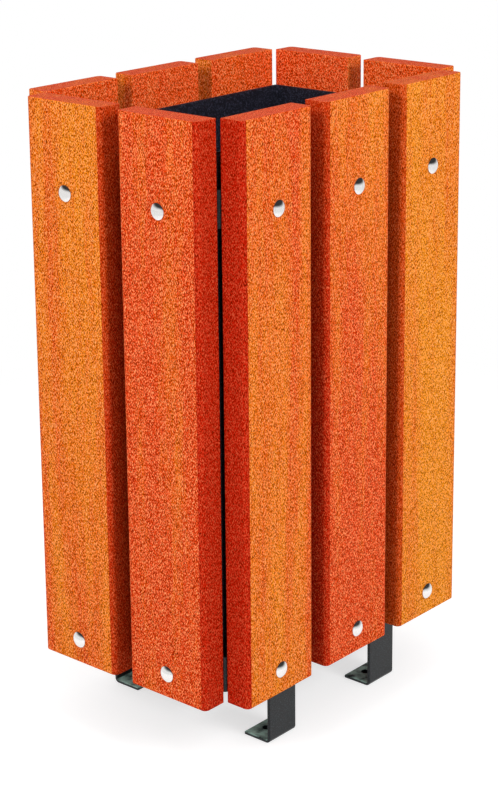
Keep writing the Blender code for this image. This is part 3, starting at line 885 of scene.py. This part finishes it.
def leg_path(length, foot, edge, hole, window):
    """Outer face of a bent strip: down, round a quarter circle and along to the tip.

    Gives points (y, z), the direction into the metal, and the inset of each ring.
    """
    lifts, insets = rounded_end(edge, 3)
    down = np.concatenate((length - lifts, np.linspace(length - 0.004, STRAP_BEND, 12)))
    around = arc(180, 10)[1:]
    start = STRAP_BEND + 0.0005
    flat = stops_between(start, foot - 0.002, (hole,), window, WINDOW_CELLS)
    along = np.concatenate((flat, foot - lifts[::-1]))
    upright = np.column_stack((np.zeros_like(down), down))
    level = np.column_stack((along, np.zeros_like(along)))
    points = np.vstack((upright, around * STRAP_BEND + STRAP_BEND, level))
    ways = np.tile((1.0, 0.0), (len(down), 1)), -around, np.tile((0.0, 1.0), (len(along), 1))
    plain = np.zeros(len(points) - 2 * len(insets))
    return points, np.vstack(ways), np.concatenate((insets, plain, insets[::-1]))


def leg_shell(node, edge):
    """A flat bar's rounded section carried along the bent path, with the anchor hole."""
    size = size_of(node)
    steps, window = 4, 0.0085
    hole = size[1] - ANCHOR_TO_TIP
    path = leg_path(size[2], size[1], edge, hole, window)
    half = size[0] / 2 - 0.003
    stops = stops_between(-half, half, (0.0,), window, WINDOW_CELLS)
    rings = strip(size[0], STRAP_THICKNESS, (edge, edge), stops, steps, path)
    shell, numbers = tube(rings - (0, 0, size[2] / 2))
    outer, inner = hole_columns(stops, steps, 0.0)
    row = nearest(path[0], (hole, 0.0))
    pair = window_round(row, outer), window_round(row, inner)
    shell.skin(numbers, pair)
    shell.cap_ends(numbers, len(stops) + steps + 1)
    stages = plain_hole(ANCHOR_RADIUS, STRAP_THICKNESS)
    drill(shell, numbers, pair, 1, (0.0, hole, -size[2] / 2), (0.0, 0.0, 1.0), stages)
    return shell


def support_shell(node, edge):
    """A flat bar lying on its face, its section carried along y."""
    low, high = corners(node)
    size = high - low
    steps = 4
    lifts, insets = rounded_end(edge, 3)
    marks = np.array((0.003 - size[1] / 2, size[1] / 2 - 0.003))
    levels = np.concatenate((lifts - size[1] / 2, marks, (size[1] / 2 - lifts)[::-1]))
    inset = np.concatenate((insets, np.zeros(2), insets[::-1]))
    stops = np.array((0.002 - size[0] / 2, size[0] / 2 - 0.002))
    points = np.column_stack((levels, np.zeros_like(levels)))
    path = points, np.tile((0.0, 1.0), (len(levels), 1)), inset
    rings = strip(size[0], size[2], (edge, edge), stops, steps, path)
    middle = (low + high) / 2
    shell, numbers = tube(rings + (middle[0], middle[1], low[2]))
    shell.skin(numbers)
    shell.cap_ends(numbers, len(stops) + steps + 1)
    return shell


class LITTERBIN_OT_frame(bpy.types.Operator):
    """Builds the two hoops, the four legs and the two bars that carry the liner"""

    bl_idname = "litterbin.frame"
    bl_label = "Steel Frame"

    def execute(self, context):
        look = context.scene.litterbin_frame
        material = powder_coat("frame_powder_coat", look.paint_colour, 0.32, 1.2)
        for nodes, shell_of, words, local in (
            (HOOP_NODES, hoop_shell, ("hoop", "band"), False),
            (LEG_NODES, leg_shell, ("leg", "foot_strap"), True),
            (SUPPORT_NODES, support_shell, ("support", "rest"), False),
        ):
            for node in nodes:
                dress(node, shell_of(node, look.edge_radius), words, material, local)
        return {"FINISHED"}


# ---- liner and bail ----


def liner_rings(look, low, high, pivot):
    """Levels and outward offsets of the rings: up the outside, over the hem and down.

    Gives how many of them lie outside as well.
    """
    wall = look.wall
    lifts, insets = rounded_end(0.002, 5)
    top, bottom = high[2], low[2]
    up = stops_between(bottom + 0.004, top - 0.0122, (pivot,), PIVOT_WINDOW, WINDOW_CELLS)
    hem_levels = top - np.array((0.0120, 0.0112, 0.0012, 0.0004, 0.0, 0.0, 0.0004, 0.001))
    hem_offsets = np.array((0.0008, HEM, HEM, HEM - 0.0004, HEM - 0.0011))
    lip_offsets = np.array((0.0006, 0.0002, 0.0)) - wall
    floor = bottom + wall
    down = stops_between(floor + 0.003, top - 0.004, (pivot,), PIVOT_WINDOW, WINDOW_CELLS)
    levels = (bottom + lifts, up, hem_levels, down[::-1], (floor + lifts * 0.5)[::-1])
    inside = np.full(len(down), -wall), (-wall - insets * 0.5)[::-1]
    offsets = (-insets, np.zeros(len(up)), hem_offsets, lip_offsets, *inside)
    return np.concatenate(levels), np.concatenate(offsets), len(lifts) + len(up)


def liner_shell(look):
    """A folded box: rings round a rectangle with arcs for corners, closed by two floors.

    The floors carry four drain holes and the short walls one hole each for the bail.
    """
    low, high = corners("liner")
    half_x, half_y = high[0] - HEM, high[1] - HEM
    pivot = high[2] - PIVOT_BELOW_RIM
    levels, offsets, outside = liner_rings(look, low, high, pivot)
    drain_x, drain_y = DRAIN_PLACE
    steps = 8
    edge = look.fold_radius + 0.001
    marks_x = (-drain_x, drain_x)
    marks_y = (-drain_y, 0.0, drain_y)
    stops_x = stops_between(edge - half_x, half_x - edge, marks_x, DRAIN_WINDOW, WINDOW_CELLS)
    stops_y = stops_between(edge - half_y, half_y - edge, marks_y, DRAIN_WINDOW, WINDOW_CELLS)
    path, normals = loop_path(half_x, half_y, look.fold_radius, stops_x, stops_y, steps)
    path, normals = np.roll(path, steps // 2 + 1, 0), np.roll(normals, steps // 2 + 1, 0)
    flat = path[None] + normals[None] * offsets[:, None, None]
    tall = np.broadcast_to(levels[:, None], flat.shape[:2])
    shell, numbers = tube(np.dstack((flat, tall)))
    out_row = nearest(levels[:outside], pivot)
    in_row = outside + nearest(levels[outside:], pivot)
    pivots = []
    for side in (-1, 1):
        column = nearest(path, (side * half_x, 0.0))
        pair = window_round(out_row, column), window_round(in_row, column)
        pivots.append((side, *pair))
    shell.skin(numbers, [window for _, *pair in pivots for window in pair])
    drains = [(x, y, window_round(nearest(stops_y, y) + 5, nearest(stops_x, x) + 5))
        for x in marks_x for y in (-drain_y, drain_y)]
    across = len(stops_x) + steps + 1
    windows = [window for _, _, window in drains]
    under = shell.cap(numbers[0, :-1], across, windows)
    above = shell.cap(numbers[-1, :-1], across, windows)
    stages = plain_hole(DRAIN_RADIUS, look.wall)
    for x, y, window in drains:
        entry, leave = window_edge(under, window), window_edge(above, window)
        shell.bore(entry, leave, (x, y, low[2]), (0.0, 0.0, 1.0), stages)
    stages = plain_hole(PIVOT_RADIUS, look.wall)
    for side, *pair in pivots:
        middle = (side * half_x, 0.0, pivot)
        drill(shell, numbers, pair, 0, middle, (-side, 0.0, 0.0), stages)
    return shell


def bail_shell(count):
    """A round wire whose radius swells into a button at each end.

    Each ring is a circle in the plane square to the wire's path.
    """
    low, high = corners("bail")
    wire = 0.0025
    pivot = high[2] - 0.0045
    end = high[0]
    arm = end - 0.0092
    drop = pivot - low[2] - wire
    bend = 0.006
    steps = 8
    shoulder = arc(0, steps)[::-1] * bend - (arm + bend, bend)
    knee = arc(180, steps) * bend + (bend - arm, bend - drop)
    shoulder_way, knee_way = arc(270, steps)[::-1], arc(270, steps)
    button_x = -end + np.array((0.0, 0.0, 0.0002, 0.0006, 0.0012, 0.0015, 0.0015))
    button_r = np.array((0.0, 0.0036, 0.0042, 0.0045, 0.0045, 0.0043, wire))
    button = np.stack((button_x, np.zeros_like(button_x)), axis=1)
    button_way = np.tile((1.0, 0.0), (len(button_x), 1))
    path = np.vstack((button, shoulder, knee))
    way = np.vstack((button_way, shoulder_way, knee_way))
    radius = np.concatenate((button_r, np.full(2 * (steps + 1), wire)))
    path = np.vstack((path, path[::-1] * (-1, 1)))
    way = np.vstack((way, way[::-1] * (1, -1)))
    radius = np.concatenate((radius, radius[::-1]))
    angles = np.arange(count) / count * 2 * np.pi
    across = np.stack((-way[:, 1], way[:, 0]), axis=1)
    spoke = radius[:, None] * np.cos(angles)
    x = path[:, :1] + across[:, :1] * spoke
    z = path[:, 1:] + across[:, 1:] * spoke + pivot
    y = radius[:, None] * np.sin(angles)
    shell, numbers = tube(np.stack((x, y, z), axis=-1))
    shell.skin(numbers)
    return shell


class LITTERBIN_OT_liner(bpy.types.Operator):
    """Builds the folded sheet liner"""

    bl_idname = "litterbin.liner"
    bl_label = "Liner"

    def execute(self, context):
        look = context.scene.litterbin_liner
        material = powder_coat("liner_powder_coat", look.paint_colour, 0.38, 0.0)
        words = ("liner", "liner_sheet")
        dress("liner", liner_shell(look), words, material, False, "liner")
        return {"FINISHED"}


class LITTERBIN_OT_bail(bpy.types.Operator):
    """Builds the liner's wire bail"""

    bl_idname = "litterbin.bail"
    bl_label = "Bail"

    def execute(self, context):
        look = context.scene.litterbin_liner
        material = bright_metal("galvanised_wire", look.wire_colour, 0.36, 0.006)
        facets = context.scene.litterbin_stage.samples_round // 2
        words = ("bail", "bail_wire")
        dress("bail", bail_shell(facets), words, material, False, "bail")
        return {"FINISHED"}


# ---- stage ----

IMAGE_HEIGHT = 800
HORIZON_ROW = 248  # pixel row of the level that the camera's axis meets
CAMERA_PLACE = (-1.8288, -1.5796, 1.1953)
CAMERA_YAW = 49.143
CAMERA_PITCH = 14.284
CAMERA_ROLL = -0.543
SOFTBOX_SIZE = 0.9
SOFTBOXES = (("left", (-3.00, 0.10, 2.20), 0.38), ("front", (-0.10, -3.00, 2.20), 0.42))
LIT_POINT = (0.0, 0.0, 0.45)  # on the bin's axis, where the softboxes' levels hold
CEILING_WAY = (0.10, -0.08, 0.99)  # square to the dark ceiling that gloss sees
FLOOR_LIFT = 0.62  # glow that brings the lit floor up to white where it is seen
FADE_START = 0.45
FADE_END = 1.4
FLOOR_RADIUS = 14.0
FLOOR_SHAPE = (24, 96)  # rings, and points to a ring
FLOOR_DROP = 0.0002


def camera_matrix():
    """Turns yaw from +Y towards +X, pitch below level and roll into a camera's matrix."""
    yaw, pitch, roll = np.radians((CAMERA_YAW, CAMERA_PITCH, CAMERA_ROLL))
    right = np.array((math.cos(yaw), -math.sin(yaw), 0.0))
    level = np.array((math.sin(yaw), math.cos(yaw), 0.0))
    ahead = math.cos(pitch) * level - (0.0, 0.0, math.sin(pitch))
    above = np.cross(right, ahead)
    across = math.cos(roll) * right + math.sin(roll) * above
    upright = -math.sin(roll) * right + math.cos(roll) * above
    made = np.eye(4)
    made[:3] = np.column_stack((across, upright, -ahead, CAMERA_PLACE))
    return Matrix(made.tolist())


def add_camera(look):
    camera = bpy.data.cameras.new("camera")
    camera.lens = look.lens
    camera.shift_y = HORIZON_ROW / IMAGE_HEIGHT - 0.5
    holder = bpy.data.objects.new("camera", camera)
    bpy.context.scene.collection.objects.link(holder)
    holder.matrix_world = camera_matrix()
    bpy.context.scene.camera = holder


def add_softbox(name, place, level):
    """A square area lamp whose power lights a surface that faces it to the level.

    Gloss sees the white room in its place.
    """
    lamp = bpy.data.lights.new(name, "AREA")
    lamp.size = SOFTBOX_SIZE
    place, target = np.array(place), np.array(LIT_POINT)
    distance = float(np.linalg.norm(target - place))
    lamp.energy = level * (math.pi * distance) ** 2
    holder = bpy.data.objects.new(name, lamp)
    holder.visible_camera = False
    holder.visible_glossy = False
    bpy.context.scene.collection.objects.link(holder)
    back = (place - target) / distance
    across = np.cross((0.0, 0.0, 1.0), back)
    across = across / np.linalg.norm(across)
    made = np.eye(4)
    made[:3] = np.column_stack((across, np.cross(back, across), back, place))
    holder.matrix_world = Matrix(made.tolist())


def seen_directly(tree):
    """1 for rays from the camera or off a gloss, so that they meet plain white."""
    camera, gloss, through = (
        add_node(tree, "LightPath", output=name)
        for name in ("Is Camera Ray", "Is Glossy Ray", "Is Transmission Ray"))
    shine = add_node(tree, "Math", {"operation": "MAXIMUM"}, (gloss, through))
    return add_node(tree, "Math", {"operation": "MAXIMUM"}, (camera, shine))


def light_world(look):
    """Even low light from all round, plain white where it is seen.

    Gloss sees the same white up to the ceiling, which is dark and comes lower at the right
    and the front, so that the domed heads carry a dark crescent.
    """
    world = bpy.data.worlds.new("studio")
    world.use_nodes = True
    tree = world.node_tree
    tree.nodes.clear()
    way = add_node(tree, "TexCoord", output="Generated")
    height = add_node(tree, "VectorMath", {"operation": "DOT_PRODUCT"}, (way, CEILING_WAY),
                      "Value")
    ceiling = add_node(tree, "MapRange", {"interpolation_type": "SMOOTHSTEP"},
                       (height, 0.05, 0.45, 1.0, 0.04))
    camera = add_node(tree, "LightPath", output="Is Camera Ray")
    seen = add_node(tree, "Math", {"operation": "MAXIMUM"}, (ceiling, camera))
    strength = add_node(tree, "Mix", {"data_type": "FLOAT"},
                        {0: seen_directly(tree), 2: look.ambient, 3: seen})
    glow = add_node(tree, "Background", inputs=((1.0, 1.0, 1.0, 1.0), strength))
    add_node(tree, "OutputWorld", inputs={"Surface": glow})
    bpy.context.scene.world = world


def anchor_place():
    """Centre of a foot's anchor hole, over the quarter of the floor where x and y are positive.
    """
    low, high = corners("rear_right_leg")
    return float(low[0] + high[0]) / 2, float(low[1]) + ANCHOR_TO_TIP, 0.0


def floor_paint(look):
    """Matt studio floor that keeps the shadow near the bin and fades to white far off, with a
    painted shadow under each foot's anchor hole.
    """
    material, tree = new_material("matt_floor")
    matt = add_node(tree, "BsdfDiffuse", inputs={"Color": opaque(look.floor_colour)})
    direct = seen_directly(tree)
    lift = add_node(tree, "Math", {"operation": "MULTIPLY"}, (direct, FLOOR_LIFT))
    glow = add_node(tree, "Emission", inputs={"Strength": lift})
    lit = add_node(tree, "AddShader", inputs=(matt, glow))
    white = add_node(tree, "Emission", inputs={"Strength": 1.0})
    place = add_node(tree, "TexCoord", output="Object")
    reach = add_node(tree, "VectorMath", {"operation": "LENGTH"}, (place,), "Value")
    far = add_node(tree, "MapRange", {"interpolation_type": "SMOOTHSTEP"},
                   (reach, FADE_START, FADE_END))
    share = add_node(tree, "Math", {"operation": "MULTIPLY"}, (far, direct))
    # Painted shadow: a near-black disc on the floor under each foot's anchor hole, for the shade
    # seen through the hole.
    quarter = add_node(tree, "VectorMath", {"operation": "ABSOLUTE"}, (place,))
    anchor_reach = add_node(tree, "VectorMath", {"operation": "DISTANCE"},
                       (quarter, anchor_place()), "Value")
    deep = add_node(tree, "Math", {"operation": "LESS_THAN"}, (anchor_reach, ANCHOR_RADIUS + 0.001))
    # The near-black colour of the painted shadow.
    hole = add_node(tree, "BsdfDiffuse", inputs={"Color": (0.004, 0.004, 0.004, 1.0)})
    both = add_node(tree, "MixShader", inputs=(share, lit, white))
    whole = add_node(tree, "MixShader", inputs=(deep, both, hole))
    add_node(tree, "OutputMaterial", inputs={"Surface": whole})
    return material


def add_floor(look):
    """A disc under the feet, as rings of points about the z axis."""
    rings, count = FLOOR_SHAPE
    radii = np.linspace(0, 1, rings)[:, None] ** 2 * FLOOR_RADIUS
    angles = np.arange(count) / count * 2 * np.pi
    level = np.full(FLOOR_SHAPE, -FLOOR_DROP)
    points = np.stack((radii * np.cos(angles), radii * np.sin(angles), level), axis=-1)
    shell, numbers = tube(points)
    shell.skin(numbers)
    floor = piece_from(shell, "floor", floor_paint(look))


class LITTERBIN_OT_stage(bpy.types.Operator):
    """Sets the camera, the soft light and the pale floor"""

    bl_idname = "litterbin.stage"
    bl_label = "Stage"

    def execute(self, context):
        look = context.scene.litterbin_stage
        context.scene.view_settings.view_transform = "Standard"
        add_camera(look)
        light_world(look)
        add_floor(look)
        for name, place, level in SOFTBOXES:
            add_softbox(name, place, level)
        return {"FINISHED"}


# ---- panel and registration ----

SETTINGS = {
    "litterbin_slats": SlatSettings,
    "litterbin_fasteners": FastenerSettings,
    "litterbin_frame": FrameSettings,
    "litterbin_liner": LinerSettings,
    "litterbin_stage": StageSettings,
}
OPERATORS = (
    LITTERBIN_OT_slats,
    LITTERBIN_OT_bolts,
    LITTERBIN_OT_nuts,
    LITTERBIN_OT_frame,
    LITTERBIN_OT_liner,
    LITTERBIN_OT_bail,
    LITTERBIN_OT_stage,
)


class LITTERBIN_PT_panel(bpy.types.Panel):
    """Lists the bin's settings and the buttons that build it"""

    bl_idname = "LITTERBIN_PT_panel"
    bl_label = "Litter Bin"
    bl_space_type = "VIEW_3D"
    bl_region_type = "UI"
    bl_category = "Litter Bin"

    def draw(self, context):
        for name, group in SETTINGS.items():
            box = self.layout.box()
            box.label(text=group.__doc__)
            for setting in group.__annotations__:
                box.prop(getattr(context.scene, name), setting)
        for operator in OPERATORS:
            self.layout.operator(operator.bl_idname)


def register():
    for group in SETTINGS.values():
        bpy.utils.register_class(group)
    for operator in OPERATORS:
        bpy.utils.register_class(operator)
    bpy.utils.register_class(LITTERBIN_PT_panel)
    for name, group in SETTINGS.items():
        setattr(bpy.types.Scene, name, PointerProperty(type=group))


def unregister():
    for name in SETTINGS:
        delattr(bpy.types.Scene, name)
    bpy.utils.unregister_class(LITTERBIN_PT_panel)
    for operator in reversed(OPERATORS):
        bpy.utils.unregister_class(operator)
    for group in reversed(SETTINGS.values()):
        bpy.utils.unregister_class(group)


def main():
    register()
    bpy.ops.litterbin.slats()
    bpy.ops.litterbin.bolts()
    bpy.ops.litterbin.nuts()
    bpy.ops.litterbin.frame()
    bpy.ops.litterbin.liner()
    bpy.ops.litterbin.bail()
    bpy.ops.litterbin.stage()


if __name__ == "__main__":
    main()
